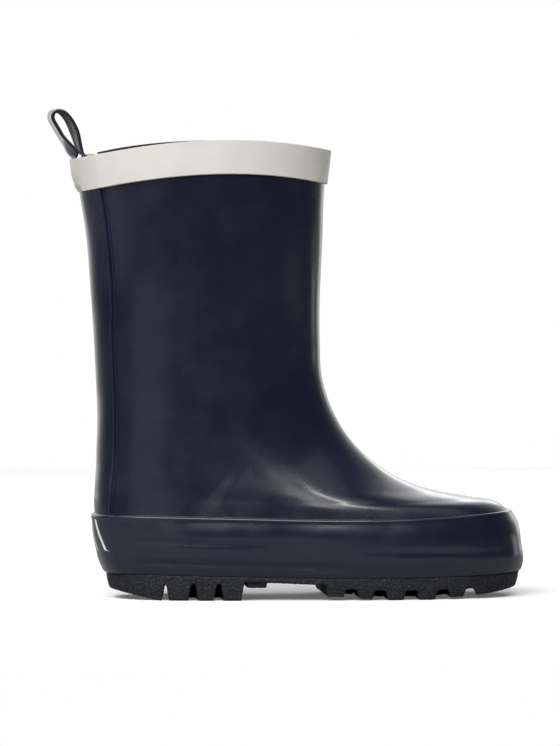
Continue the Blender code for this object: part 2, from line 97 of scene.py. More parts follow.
# name; x and z of its rear and of its front end; dip between them, and its skew; half width;
# where it is widest; roundness of its rear and of its front; share of the foot's waist and lean
STATIONS = (
    ("sole_edge", 8.6, 12.3, 189.4, 11.5, -1.6, 0.5, 33.2, 0.66, 2.9, 2.5, 1.0),
    ("side_low", 5.9, 20.0, 190.0, 20.6, -1.4, 1.1, 35.2, 0.66, 2.9, 2.5, 1.0),
    ("side_high", 3.9, 29.2, 189.0, 30.0, -1.6, 1.1, 35.4, 0.655, 2.9, 2.5, 1.0),
    ("foxing_top", 2.9, 37.8, 186.0, 37.9, -1.75, 1.1, 34.4, 0.65, 2.9, 2.45, 1.0),
    ("toe_crown", 2.7, 42.6, 181.0, 41.7, -1.7, 1.1, 33.8, 0.635, 2.85, 2.4, 0.98),
    ("toe_top", 2.9, 47.0, 170.6, 43.6, -1.5, 1.0, 33.0, 0.61, 2.8, 2.3, 0.95),
    ("vamp", 3.3, 55.5, 150.0, 47.8, -1.0, 0.9, 31.6, 0.56, 2.7, 2.1, 0.8),
    ("instep_low", 3.7, 65.0, 133.2, 54.9, -0.6, 0.7, 30.3, 0.52, 2.6, 2.0, 0.6),
    ("instep_high", 4.0, 76.0, 117.5, 67.5, -0.3, 0.5, 29.4, 0.49, 2.5, 1.95, 0.4),
    ("ankle_low", 4.0, 88.0, 108.2, 82.0, 0.0, 0.3, 28.9, 0.48, 2.4, 1.95, 0.2),
    ("ankle", 3.4, 98.5, 103.5, 96.0, 0.1, 0.2, 28.7, 0.48, 2.3, 2.0, 0.1),
    ("leg_low", 2.5, 113.0, 101.9, 113.0, 0.5, 0.15, 29.0, 0.49, 2.2, 2.05, 0.0),
    ("leg", 1.6, 130.0, 101.9, 132.0, 1.7, 0.1, 30.1, 0.5, 2.1, 2.1, 0.0),
    ("leg_high", -0.4, 157.0, 103.1, 160.0, 4.0, 0.1, 32.6, 0.5, 2.1, 2.1, 0.0),
    ("trim_edge", -4.1, 180.3, 104.0, 183.5, 6.1, 0.1, 34.8, 0.5, 2.1, 2.1, 0.0),
    ("rim", -6.8, 194.4, 105.6, 198.2, 6.5, 0.05, 36.0, 0.5, 2.1, 2.1, 0.0),
)
WAIST_AT = 0.40
WAIST_SPREAD = 0.17
WAIST_OUTER = 0.06
WAIST_INNER = 0.17
TOE_IN = 5.0
TOE_IN_FROM = 0.45
SEAM_NARROWING = 0.19
SEAM_REACH = 0.2
U_TAIL = 0.0403
U_PATCH = 0.0885
U_STAY = 0.0917
U_SIDE = 0.25  # the middle of the outer side
U_TOE = 0.5
VAMP_EDGE = (48.5, 37.0)
VAMP_SLOPE = math.radians(33.0)
STRAP_WIDTH = 18.0

# --- how finely the pieces are made ---
COLUMNS_ROUND = 360
STAY_COLUMNS = 22  # extra ones at each edge of the back stay
STAY_SPAN = (-0.006, 0.014)  # from and to, in u from that edge
LINING_COLUMNS = 180
TAPE_COLUMNS = 240
PATCH_COLUMNS = 90
INSOLE_COLUMNS = 200
MARK_COLUMNS = 7
EDGE_STEPS = 7
SHARP = math.radians(50.0)
# how far apart the rows are, and how wide the edges are in which they lie closer
UPPER_ROWS = (1.15, 1.5)
INSIDE_FROM = 1.0  # t of the upper's lowest row inside, at least
INSIDE_EVERY = 4  # inside it has one row for so many outside
STAY_ROWS = (1.3, 1.0)
STAY_ACROSS = (0.0022, 0.0035)  # the same for its columns, in u
STAY_MIDDLE = 0.004  # u; only the seam's own column lies closer to the seam
FOXING_ROWS = (0.55, 2.0)
TRIM_ROWS = (0.9, 1.2)
LINING_ROWS = (1.6, 1.0)
TAPE_ROWS = (0.8, 0.8)
STRAP_ACROSS = (1.3, 0.5)
MARK_ROWS = (0.8, 0.3)

# --- the soft shapes that the CAD leaves out ---
# turns round the boot, length up it, phase, height: the hand-laid sheet is never quite even
UPPER_WAVES = (
    (2, 71.0, 0.4, 0.1),
    (3, -53.0, 2.2, 0.06),
    (5, 61.0, 4.1, 0.04),
    (7, -37.0, 1.3, 0.025),
    (2, -29.0, 5.2, 0.025),
    (8, 43.0, 3.3, 0.015),
    (1, 23.0, 0.9, 0.012),
)
FOXING_WAVES = (
    (3, 45.0, 1.0, 0.09),
    (7, -31.0, 3.6, 0.08),
    (11, 26.0, 0.3, 0.06),
    (17, -19.0, 2.5, 0.04),
    (23, 33.0, 5.0, 0.03),
)
PLY_STEP = 0.24  # the vamp's ply shows through the rubber as a low step with a ridge
PLY_RIDGE = 0.15
PLY_SOFTNESS = 2.6
PLY_FADE = 24.0  # it grows to its full height over this length, from the instep down

BONDED = 0.06  # how far a bonded layer sinks into the one below
# each ROUND: how wide the rolled edge is, and the share of the height that is left at its end
STAY_ROUND = (1.1, 0.04)
STAY_SHOULDER = 3.2  # width over which a band steps up on to the stay
STAY_GROOVE = (0.75, 0.6, 0.2)  # pressed in ahead of the stay: how far ahead, half width, depth
LIP_ROUND = (1.05, 0.05)
LIP_BEAD = 0.22
FOXING_FOOT_ROUND = 1.7
FOXING_FOOT_IN = 0.3  # share by which the foot draws in
TRIM_ROUND = (0.32, 0.35)
TRIM_CREST = 0.2  # its top edge stands up by this at the outside
TRIM_SHOULDER = 10.0  # the pale band rises more gently over the stay's edge
TRIM_TUCK = (0.85, 3.6, 0.05, 0.02)  # at the back it lies close at its foot: depth, height, reach, fade
TRIM_BULGE = (0.6, 8.5, 4.0, 0.035)  # over the strap's end: height, place, half height, half reach
TRIM_LAP = (0.16, 0.118, 0.8)  # its end laps over its start: height of the step, u, width
TRIM_WAVINESS = 0.5  # of the foxing's
TOE_SWELL = (1.1, 4.0, 6.0, 0.1)  # the foxing is fuller low at the toe: by, t, half height, reach
TOE_TUCK = (1.3, 8.0, 0.07)  # and leans back at its top there: depth, height, reach
TAPE_ROUND = (0.3, 0.3)
TAPE_WAVINESS = 0.08
PATCH_SHOULDER = 1.5  # width over which the patch steps over the strap's end

# creases that run along the foxing: height at the heel, height at the toe, width, depth, from and
# to (x), how far it takes to fade in and out
CREASES = (
    (26.6, 25.0, 1.4, 0.38, 8.0, 80.0, 24.0),
    (21.6, 20.2, 1.6, 0.24, 112.0, 190.0, 26.0),
    (17.8, 14.6, 1.3, 0.85, 12.0, 118.0, 26.0),
)
SWELLS = ((29.5, 5.0, 0.22), (17.5, 4.2, 0.3))  # height, half width, height of the swell

SOLE_VOXEL = 0.5
SOLE_GRAIN = 0.3
SOLE_GRAIN_SIZE = 1.3
SOLE_GRAIN_LEVEL = 0.45  # at this distance from a grain's middle the face stays where it is
SOLE_SMOOTHING = 1
# x at which the arch end's rise is full and none, the same for the toe end, and both rises
ROCKER = ((104.0, 132.0), (158.0, 150.0), 1.7, 0.7)
ROCKER_FROM = 98.0  # x; the waist and the heel keep their height
ROCKER_TOP = 9.0

INSOLE_CROWN = 0.9  # how far the top falls towards its middle
INSOLE_INSETS = (2.5, 5.0, 9.0, 14.0)  # of the rings that close its top towards the crown
INSOLE_EDGE_STEPS = 9
FOAM_ROLL = 1.4
COVER_ROLL = 0.5
MARK_BARS = 4
MARK_PITCH = 0.0433
MARK_FIRST = -0.065
MARK_LEAN = 0.033
MARK_WIDTH = 1.5
MARK_HEIGHT = (22.0, 35.2)
MARK_GROUND = 11.0  # height at which t starts there
MARK_THICK = 0.08
MARK_ROUND = (0.2, 0.3)

TAPE_LIFT = 1.0  # the cloth stands a little above the rubber at the back
TAPE_LIFT_DEPTH = 3.0
TAPE_LIFT_END = 55.0  # x
PATCH_LIFT = 1.4
PATCH_LIFT_END = 2.0  # x
PATCH_LIFT_SLOPE = 2.0
LINING_WAVES = ((5, 70.0, 0.5, 0.6), (8, -41.0, 2.0, 0.4), (14, 55.0, 4.0, 0.25), (22, -30.0, 1.0, 0.15))
LINING_WRINKLE = 0.5

# --- the pull loop's middle line above the rim, x and z ---
LOOP_POINTS = (
    (-9.1, 196.8), (-11.6, 201.8), (-15.0, 207.9), (-17.5, 212.4), (-17.2, 215.2), (-15.0, 216.2),
    (-12.3, 215.1), (-9.5, 211.6), (-7.1, 206.2), (-5.4, 200.2),
)
LOOP_STEPS = 7
STRAP_STEP = 0.6
STRAP_CURL = 0.25
STRAP_ROUND = (0.35, 0.25)
STRAP_END_STEP = 0.35
STRAP_END_ROUND = (0.7, 0.3)
# how far along the strap, and how many degrees it is turned there
LOOP_TWISTS = ((0.15, 0.0), (0.22, 12.0), (0.3, 3.0), (0.5, 3.0), (0.72, 7.0), (0.86, 0.0))
# heights between which the strap goes from wrapped round the wall to flat: outer leg, inner leg
STRAP_FLAT = ((197.0, 206.0), (194.0, 198.0))
STRAP_SWELL = (0.7, 0.15, 0.21)  # thicker above the rim: by this share, from, fully from
RIM_LEAN = 0.7  # the outer leg leans out over the rim
CANVAS = 0.3
CANVAS_IN = 0.6  # narrower than the strap by this on each side
CANVAS_SPAN = (0.24, 0.84)  # from and to, as shares of the strap's length

# --- the colours, each from one end of its range to the other ---
NAVY = ((0.0055, 0.0078, 0.0200), (0.0080, 0.0108, 0.0255))
PALE = ((0.67, 0.643, 0.605), (0.73, 0.703, 0.66))
# painted highlight on the sole's pebbles: lighter at their tops, darker at their feet
SOLE_PEBBLE_HIGHLIGHT = ((0.04, 0.043, 0.062), (0.005, 0.0056, 0.0095))
SOLE_CLOUDS = ((0.0065, 0.0072, 0.011), (0.014, 0.0155, 0.022))
PRINT_WHITE = ((0.66, 0.67, 0.7), (0.86, 0.87, 0.88))
TAN_KNIT = ((0.36, 0.28, 0.17), (0.62, 0.51, 0.35))
TAN_COTTON = ((0.42, 0.33, 0.2), (0.72, 0.6, 0.43))
NAVY_TAPE = ((0.008, 0.009, 0.017), (0.03, 0.034, 0.055))
PALE_FOAM = ((0.5, 0.49, 0.45), (0.75, 0.73, 0.68))
INSOLE_CLOTH = ((0.03, 0.035, 0.05), (0.09, 0.1, 0.14))
OLIVE_CANVAS = ((0.035, 0.035, 0.03), (0.12, 0.12, 0.105))
GUM = ((0.17, 0.11, 0.06), (0.33, 0.22, 0.13))
PRESSED_BOARD = ((0.3, 0.24, 0.17), (0.45, 0.37, 0.27))
NOISE_ROUGHNESS = 0.55
WAVE_PERIOD = 0.314  # of the wave texture at scale 1

# --- the studio ---
BACKDROP = (0.0, 0.966, 0.259)  # towards the bright backdrop
ROOM_LEVELS = ((0.0, 0.05), (0.4, 0.09), (0.68, 0.45), (0.85, 1.0))
FLOOR = ((-1000.0, 1000.0), (-420.0, 1200.0))  # from and to, along x and y
FLOOR_GLOW = 0.11
FLOOR_TINT = (1.0, 1.0, 0.99, 1.0)
WHITE = (1.0, 1.0, 1.0, 1.0)
FLOOR_SEEN = 0.95
FLOOR_REFLECTED = 0.3  # kept dim, so that the rubber keeps its dark sides
LIGHTS_AIM = (0.0, 0.0, 100.0)
# where from that point, width, height, watts
LIGHTS = (
    ((270.0, -1110.0, 960.0), 260.0, 140.0, 2.2),
    ((-600.0, -1900.0, 1700.0), 2400.0, 2200.0, 84.0),
    ((1000.0, -1000.0, 1900.0), 1600.0, 1400.0, 3.0),
    ((-1100.0, -500.0, 1400.0), 900.0, 700.0, 11.0),
    ((0.0, 1350.0, 1150.0), 1800.0, 1000.0, 2.0),
    ((250.0, 1300.0, 420.0), 700.0, 260.0, 1.3),
    ((-800.0, -1050.0, -40.0), 800.0, 200.0, 0.2),
    ((900.0, 1200.0, 80.0), 300.0, 400.0, 0.3),
    ((750.0, 330.0, -60.0), 160.0, 70.0, 0.06),
)


# --- the skin ---


def station_lengths():
    """Length along the skin at each station: the mean of the front and the rear path."""
    ends = np.array([row[1:5] for row in STATIONS])
    steps = np.diff(ends, axis=0)
    rear = np.hypot(steps[:, 0], steps[:, 1])
    front = np.hypot(steps[:, 2], steps[:, 3])
    return np.concatenate([[0.0], np.cumsum((rear + front) / 2)])


STATION_T = station_lengths()
AT = {row[0]: t for row, t in zip(STATIONS, STATION_T)}
COLUMNS = np.array([row[1:] for row in STATIONS])
SLOPES = np.gradient(COLUMNS, STATION_T, axis=0)
TRIM_T, RIM_T = AT["trim_edge"], AT["rim"]
STAY_TOP = TRIM_T + (RIM_T - TRIM_T) / 3


def columns_at(t):
    """The station values at t, on smooth cubics through the stations."""
    t = np.clip(t, 0.0, STATION_T[-1])
    i = np.clip(np.searchsorted(STATION_T, t, side="right") - 1, 0, len(STATION_T) - 2)
    width = (STATION_T[i + 1] - STATION_T[i])[..., None]
    r = (t - STATION_T[i])[..., None] / width
    values = (
        (2 * r**3 - 3 * r**2 + 1) * COLUMNS[i]
        + (r**3 - 2 * r**2 + r) * width * SLOPES[i]
        + (3 * r**2 - 2 * r**3) * COLUMNS[i + 1]
        + (r**3 - r**2) * width * SLOPES[i + 1]
    )
    return np.moveaxis(values, -1, 0)


def dip_shape(along, skew):
    return 4 * along * (1 - along) * (1 + skew * (2 * along - 1))


def smooth(x):
    x = np.clip(x, 0.0, 1.0)
    return x * x * (3 - 2 * x)


def bell(distance, half):
    return np.exp(-((distance / half) ** 2))


def from_seam(u):
    """How far round the ring u is from the back seam, on either side."""
    return np.abs((u + 0.5) % 1.0 - 0.5)


def seam_line(u, t):
    """u with the lines by the back seam drawn together at the heel, where the ring is long."""
    near = smooth((SEAM_REACH - from_seam(u)) / (SEAM_REACH - U_STAY))
    low = smooth((AT["instep_high"] - t) / (AT["instep_high"] - AT["foxing_top"]))
    return np.round(u) + (u - np.round(u)) * (1 - SEAM_NARROWING * near * low)


def skin_point(u, t):
    columns = columns_at(t)
    rear_x, rear_z, front_x, front_z, dip, skew, half, widest, rear_n, front_n, foot = columns
    angle = 2 * np.pi * seam_line(u, t)
    c, s = np.cos(angle), np.sin(angle)
    n = np.where(c > 0, rear_n, front_n)
    k = (np.abs(c) ** n + np.abs(s) ** n) ** (-1 / n)
    along = widest - np.where(c > 0, widest, 1 - widest) * c * k
    waist = bell(along - WAIST_AT, WAIST_SPREAD) * np.where(s > 0, WAIST_OUTER, WAIST_INNER) * foot
    lean = foot * TOE_IN * smooth((along - TOE_IN_FROM) / (1 - TOE_IN_FROM))
    x = rear_x + (front_x - rear_x) * along
    y = -half * s * k * (1 - waist) + lean
    z = rear_z + (front_z - rear_z) * along + dip * dip_shape(along, skew)
    return np.stack([x, y, z], axis=-1)


def skin(u, t, out=0.0):
    """Points on the skin, moved out by that distance, level at its two ends."""
    u, t, out = np.broadcast_arrays(np.asarray(u, float), np.asarray(t, float), out)
    du, dt = 1e-4, 0.05
    low, high = np.maximum(t - dt, 0.0), np.minimum(t + dt, STATION_T[-1])
    across = skin_point(u + du, t) - skin_point(u - du, t)
    up = skin_point(u, high) - skin_point(u, low)
    normal = np.cross(across, up)
    at_end = (t < dt) | (t > STATION_T[-1] - dt)
    normal[..., 2] = np.where(at_end, 0.0, normal[..., 2])
    normal /= np.linalg.norm(normal, axis=-1, keepdims=True)
    return skin_point(u, t) + normal * out[..., None]


def height_at(station, x):
    """Height of a station's line at x. 0 is the sole edge and -1 the rim."""
    rear_x, rear_z, front_x, front_z, dip, skew = COLUMNS[station][:6]
    along = np.clip((x - rear_x) / (front_x - rear_x), 0.0, 1.0)
    return rear_z + (front_z - rear_z) * along + dip * dip_shape(along, skew)


def per_turn(u, t):
    """Length on the skin for one unit of u at that place."""
    du = 1e-3
    return np.linalg.norm(skin_point(u + du, t) - skin_point(u - du, t), axis=-1) / (2 * du)


def waves(table, u, t):
    """A sum of slow waves that closes up round the boot."""
    total = 0.0
    for turns, length, phase, height in table:
        total = total + height * np.sin(2 * np.pi * (turns * u + t / length) + phase)
    return total


def relief(u, t):
    """How far the rubber sheet stands off the plain skin."""
    point = skin_point(u, t)
    edge_x, edge_z = VAMP_EDGE
    ahead = (point[..., 0] - edge_x) * math.cos(VAMP_SLOPE)
    ahead = ahead - (point[..., 2] - edge_z) * math.sin(VAMP_SLOPE)
    shown = smooth((AT["instep_low"] - t) / PLY_FADE)
    ply = PLY_STEP * smooth(ahead / PLY_SOFTNESS + 0.5)
    ply = ply + PLY_RIDGE * bell(ahead, PLY_SOFTNESS / 2)
    away = smooth((RIM_T - t) / (RIM_T - TRIM_T))
    place, half, depth = STAY_GROOVE
    beyond = (from_seam(u) - U_STAY) * per_turn(U_STAY, t)
    pressed = depth * away * bell(beyond - place, half)
    return waves(UPPER_WAVES, u, t) * away + ply * shown - pressed


def rounded(distance, radius, least=0.0):
    """Share of a layer's full height at that distance in from its edge."""
    short = np.clip(1 - distance / radius, 0.0, 1.0)
    return np.maximum(np.sqrt(1 - short**2), least)


def over_stay(u, t, shoulder=STAY_SHOULDER):
    """1 over the back stay, 0 beyond its edge, with a soft shoulder between."""
    beyond = (from_seam(u) - U_STAY) * per_turn(U_STAY, t)
    return smooth(1 - beyond / shoulder)


# --- mesh builders ---


def link(obj):
    bpy.context.scene.collection.objects.link(obj)
    return obj


def ring_columns():
    """Places round the whole boot, closer together at the back stay's edges."""
    even = np.arange(COLUMNS_ROUND) / COLUMNS_ROUND
    extra = U_STAY + np.linspace(*STAY_SPAN, STAY_COLUMNS)
    return np.unique(np.round(np.concatenate([even, extra, 1 - extra]), 6))


def spaced(low, high, step, edge):
    """Values from low to high, closer together within edge of either end."""
    near = edge * (1 - np.cos(np.linspace(0, math.pi / 2, EDGE_STEPS)))
    middle = np.linspace(low + edge, high - edge, max(2, round((high - low - 2 * edge) / step) + 1))
    return np.concatenate([low + near[:-1], middle, high - near[:-1][::-1]])


def rows_up(low, high, spacing):
    """The same for the rows of a grid, as one column."""
    return spaced(low, high, *spacing)[:, None]


def quads(rows, columns, closed_rows, closed_columns):
    """Row and column numbers of each quad's corners, past the end where the grid closes."""
    j, i = np.meshgrid(
        np.arange(rows if closed_rows else rows - 1),
        np.arange(columns if closed_columns else columns - 1),
        indexing="ij",
    )
    return (
        np.stack([j, j, j + 1, j + 1], axis=-1).reshape(-1, 4),
        np.stack([i, i + 1, i + 1, i], axis=-1).reshape(-1, 4),
    )


def mesh_piece(name, points, faces, material, corner_uv=None):
    mesh = bpy.data.meshes.new(name)
    points = (np.asarray(points, float).reshape(-1, 3) - ORIGIN) * MM
    mesh.from_pydata(points.tolist(), [], [list(map(int, face)) for face in faces])
    if corner_uv is not None:
        layer = mesh.uv_layers.new(name="cloth")
        layer.data.foreach_set("uv", np.asarray(corner_uv, np.float32).ravel())
    mesh.shade_smooth()
    mesh.set_sharp_from_angle(angle=SHARP)
    mesh.materials.append(material)
    return link(bpy.data.objects.new(name, mesh))


def slab_sides(rows, columns):
    """The faces that close a slab at its first and its last column."""
    last = 2 * rows - 1
    faces = []
    for column in (0, columns - 1):
        for j in range(rows - 1):
            face = [k * columns + column for k in (j, j + 1, last - j - 1, last - j)]
            faces.append(face if column == 0 else face[::-1])
    return faces


def slab_piece(name, outside, inside, material, cloth=None, closed=False):
    """A closed solid between two grids of points, which can run right round the boot. cloth is
    its cloth coordinates in mm, by column and by row."""
    rows, columns = outside.shape[:2]
    points = np.concatenate([outside, inside[::-1]])
    row, column = quads(2 * rows, columns, True, closed)
    faces = ((row % (2 * rows)) * columns + column % columns).tolist()
    sides = [] if closed else slab_sides(rows, columns)
    uv = None
    if cloth is not None:
        lengths, heights = cloth
        heights = np.concatenate([heights, heights[::-1], heights[:1]])
        uv = np.stack([lengths[column], heights[row]], axis=-1).reshape(-1, 2) * MM
        uv = np.concatenate([uv, np.zeros((4 * len(sides), 2))])
    return mesh_piece(name, points, faces + sides, material, uv)


def cloth_lengths(u):
    """Lengths round the leg for the cloth coordinates, with one more where it closes up."""
    return np.append(u, u[0] + 1) * per_turn(U_SIDE, AT["leg"])


def shell_piece(name, u, t, inner, outer, material, closed):
    """A closed solid between two offsets from the skin. u has a value for each column and t one
    for each row; inner and outer have one for each point or one for all."""
    outside = skin(u, t, outer)
    inside = skin(u, t, inner)
    return slab_piece(name, outside, inside, material, (cloth_lengths(u), t[:, 0]), closed)


def ring_stack(name, rings, material, cloth=None, closed_stack=False):
    """A solid through rings of points. It is closed by a cap at both ends, or end to end. cloth
    is its cloth coordinates in mm, by column and by row; caps take their x and y for them."""
    rings = np.asarray(rings)
    rows, columns = rings.shape[:2]
    row, column = quads(rows, columns, closed_stack, True)
    faces = ((row % rows) * columns + column % columns).tolist()
    caps = []
    if not closed_stack:
        caps = ladder(columns, 0, True) + ladder(columns, columns * (rows - 1), False)
    uv = None
    if cloth is not None:
        lengths, heights = cloth
        uv = np.stack([lengths[column], heights[row]], axis=-1).reshape(-1, 2)
        flat = rings.reshape(-1, 3)[[v for face in caps for v in face]][:, :2]
        uv = np.concatenate([uv, flat]) * MM
    return mesh_piece(name, rings, faces + caps, material, uv)


def ladder(count, start, flip):
    """Closes a ring from side to side, so that each face lies level across the foot."""
    half = count // 2
    faces = [(0, 1, count - 1)]
    faces += [(i, i + 1, count - i - 1, count - i) for i in range(1, half - 1)]
    faces.append((half - 1, half, half + 1))
    return [tuple(start + v for v in (f[::-1] if flip else f)) for f in faces]


def finished(obj, body, slot, *nodes):
    """Says what the piece rides on and the CAD nodes that it stands for. slot, its finish, is not used.
    """
    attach(obj, body)
    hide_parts(*nodes)


# --- materials ---


def add_node(tree, kind, output, values, links, **settings):
    """Adds a node, sets and links its inputs, and returns its output of that name."""
    node = tree.nodes.new(kind)
    for name, value in settings.items():
        setattr(node, name, value)
    for key, value in values.items():
        node.inputs[key].default_value = value
    for key, source in links.items():
        tree.links.new(source, node.inputs[key])
    return node.outputs[output]


def add_ramp(tree, source, stops):
    """Adds a ramp through the stops, each a position and a colour, and returns its colour."""
    node = tree.nodes.new("ShaderNodeValToRGB")
    elements = node.color_ramp.elements
    while len(elements) < len(stops):
        elements.new(0.5)
    for element, (position, colour) in zip(elements, stops):
        element.position = position
        element.color = (*colour, 1.0)
    tree.links.new(source, node.inputs["Fac"])
    return node.outputs["Color"]


class Paint:
    """A Principled material with short ways to add its textures."""

    def __init__(self, name, roughness, **constants):
        self.material = bpy.data.materials.new(name)
        self.material.use_nodes = True
        self.tree = self.material.node_tree
        self.shader = self.tree.nodes["Principled BSDF"]
        self.shader.inputs["Roughness"].default_value = roughness
        for socket, value in constants.items():
            self.shader.inputs[socket.replace("_", " ")].default_value = value
        coordinates = self.tree.nodes.new("ShaderNodeTexCoord")
        self.place = {"Vector": coordinates.outputs["Object"]}
        self.cloth = {"Vector": coordinates.outputs["UV"]}
        self.bumped = {}

    def node(self, *arguments, **settings):
        return add_node(self.tree, *arguments, **settings)

    def noise(self, size, detail=3.0):
        """Noise with features of about that size in mm."""
        values = {"Scale": 1 / (size * MM), "Detail": detail, "Roughness": NOISE_ROUGHNESS}
        return self.node("ShaderNodeTexNoise", "Fac", values, self.place)

    def grains(self, size, feature="F1"):
        """Distance from the middles of grains of about that size in mm."""
        values = {"Scale": 1 / (size * MM)}
        return self.node("ShaderNodeTexVoronoi", "Distance", values, self.place, feature=feature)

    def ribs(self, pitch, direction, bent):
        """Ridges across the cloth coordinates, one every pitch mm."""
        values = {"Scale": WAVE_PERIOD / (pitch * MM), "Distortion": bent, "Detail": 1.0}
        return self.node("ShaderNodeTexWave", "Fac", values, self.cloth, bands_direction=direction)

    def ramp(self, source, low, high, start=0.3, end=0.7):
        """source taken from low to high between start and end; low and high are colours."""
        return add_ramp(self.tree, source, ((start, low), (end, high)))

    def span(self, source, low, high, start=0.3, end=0.7):
        """source taken from low to high between start and end; low and high are numbers."""
        values = {"From Min": start, "From Max": end, "To Min": low, "To Max": high}
        return self.node("ShaderNodeMapRange", "Result", values, {"Value": source})

    def multiply(self, first, second):
        links = {0: first, 1: second}
        return self.node("ShaderNodeMath", "Value", {}, links, operation="MULTIPLY")

    def mix(self, factor, first, second):
        links = {"Factor": factor, "A": first, "B": second}
        return self.node("ShaderNodeMix", "Result", {}, links, data_type="RGBA")

    def colour(self, source):
        self.tree.links.new(source, self.shader.inputs["Base Color"])

    def rough(self, source):
        self.tree.links.new(source, self.shader.inputs["Roughness"])

    def bump(self, height, depth, strength=1.0):
        """Adds a bump whose full height is depth mm."""
        values = {"Strength": strength, "Distance": depth * MM}
        links = {"Height": height, **self.bumped}
        normal = self.node("ShaderNodeBump", "Normal", values, links)
        self.bumped = {"Normal": normal}
        self.tree.links.new(normal, self.shader.inputs["Normal"])


def navy_rubber():
    """Lacquered rubber: deep navy, glossy, with a soft orange peel and faint hand-laid clouds."""
    paint = Paint("navy_lacquer", 0.3, Coat_Weight=0.35, Coat_Roughness=0.16, Coat_IOR=1.5)
    paint.colour(paint.ramp(paint.noise(34.0), *NAVY))
    paint.rough(paint.span(paint.noise(13.0, 5.0), 0.2, 0.32))
    paint.bump(paint.noise(9.0, 2.0), 0.09)
    paint.bump(paint.noise(1.3, 2.0), 0.006)
    return paint.material


def pale_rubber():
    paint = Paint("pale_rubber", 0.42, Coat_Weight=0.1, Coat_Roughness=0.3)
    paint.colour(paint.ramp(paint.noise(16.0, 4.0), *PALE))
    paint.rough(paint.span(paint.noise(5.0, 4.0), 0.36, 0.52))
    paint.bump(paint.noise(7.0, 2.0), 0.06)
    paint.bump(paint.noise(0.9, 2.0), 0.006)
    return paint.material


def sole_rubber():
    """Pebbled moulded rubber, its grains painted a little lighter at their middles: a painted highlight
    on the pebbles' tops.
    """
    paint = Paint("sole_rubber", 0.6, Specular_IOR_Level=0.4)
    grains = paint.grains(1.0)
    # painted highlight: each grain is lighter at its middle, where its bump stands highest
    pebble_highlight = paint.ramp(grains, *SOLE_PEBBLE_HIGHLIGHT, start=0.1, end=0.5)
    clouds = paint.ramp(paint.noise(12.0, 4.0), *SOLE_CLOUDS)
    paint.colour(paint.mix(paint.noise(5.0), pebble_highlight, clouds))
    paint.rough(paint.span(grains, 0.45, 0.75, start=0.1, end=0.6))
    paint.bump(paint.grains(1.0, "SMOOTH_F1"), -0.35, 0.9)
    paint.bump(paint.noise(0.5, 3.0), 0.05)
    return paint.material


def woven(name, low, high, pitch, depth):
    """Plain-woven cloth: warp and weft ridges of that pitch, with slubs."""
    paint = Paint(name, 0.9, Sheen_Weight=0.3, Sheen_Roughness=0.5)
    threads = paint.multiply(paint.ribs(pitch, "X", 0.4), paint.ribs(pitch, "Y", 0.4))
    cloth = paint.ramp(threads, low, high, start=0.05, end=0.7)
    slubs = paint.ramp(paint.noise(3.0, 4.0), low, high)
    paint.colour(paint.mix(paint.span(paint.noise(9.0), 0.1, 0.5), cloth, slubs))
    paint.rough(paint.span(threads, 0.95, 0.8, start=0.0, end=1.0))
    paint.bump(threads, depth)
    return paint.material


def knit(name, low, high, pitch, depth):
    """Weft-knit lining: columns of stitches that lean both ways."""
    paint = Paint(name, 0.92, Sheen_Weight=0.35, Sheen_Roughness=0.5)
    wales = paint.ribs(pitch, "X", 0.6)
    stitches = paint.multiply(wales, paint.ribs(pitch * 0.8, "DIAGONAL", 0.5))
    paint.colour(paint.mix(
        paint.span(paint.noise(14.0, 4.0), 0.1, 0.5),
        paint.ramp(stitches, low, high, start=0.0, end=0.6),
        paint.ramp(paint.noise(4.0), low, high),
    ))
    paint.rough(paint.span(stitches, 0.98, 0.85, start=0.0, end=1.0))
    paint.bump(stitches, depth)
    return paint.material


def crumbly(name, low, high, size, depth, roughness):
    """Pressed board, foam or raw gum: one speckled material with a fine grain."""
    paint = Paint(name, roughness)
    paint.colour(paint.ramp(paint.noise(size * 4, 5.0), low, high))
    paint.rough(paint.span(paint.noise(size * 2, 3.0), roughness - 0.08, roughness + 0.05))
    paint.bump(paint.grains(size), -depth, 0.8)
    return paint.material


def mark_paint():
    """Screen-printed white, a little thin in places."""
    paint = Paint("white_print", 0.4)
    paint.colour(paint.ramp(paint.noise(1.4, 4.0), *PRINT_WHITE, end=0.5))
    paint.rough(paint.span(paint.noise(2.0), 0.35, 0.5))
    paint.bump(paint.noise(0.6), 0.01)
    return paint.material


# --- the rubber pieces ---


def make_upper(material):
    """The sheet from the turned-in margin, up the outside, over the rim and down the inside."""
    u = ring_columns()
    t = rows_up(0.0, RIM_T, UPPER_ROWS)
    top = rounded(RIM_T - t, UPPER / 2)
    outer = skin(u, t, relief(u, t) - UPPER / 2 * (1 - top))
    lower_t = t[t > INSIDE_FROM][::INSIDE_EVERY]
    inner_t = np.append(lower_t[lower_t < RIM_T - UPPER], t[t > RIM_T - UPPER])[:, None]
    inner_top = rounded(RIM_T - inner_t, UPPER / 2)
    inner = skin(u, inner_t, -UPPER + UPPER / 2 * (1 - inner_top))
    under, over, corner = (
        foot_ring(u, 0.0, -inset, lambda x, lift=lift: height_at(0, x) + lift)
        for inset, lift in ((MARGIN, 0.0), (MARGIN, UPPER), (UPPER, UPPER))
    )
    rings = [under, *outer, *inner[::-1], corner, over]
    upper = ring_stack("rubber_upper", rings, material, closed_stack=True)
    finished(upper, "boot", "navy_rubber", "upper_shell")


def foot_ring(u, t, out, height):
    """A ring that follows the skin in plan, at the height given for its x."""
    ring = skin(u, t, out)
    ring[:, 2] = height(ring[:, 0])
    return ring


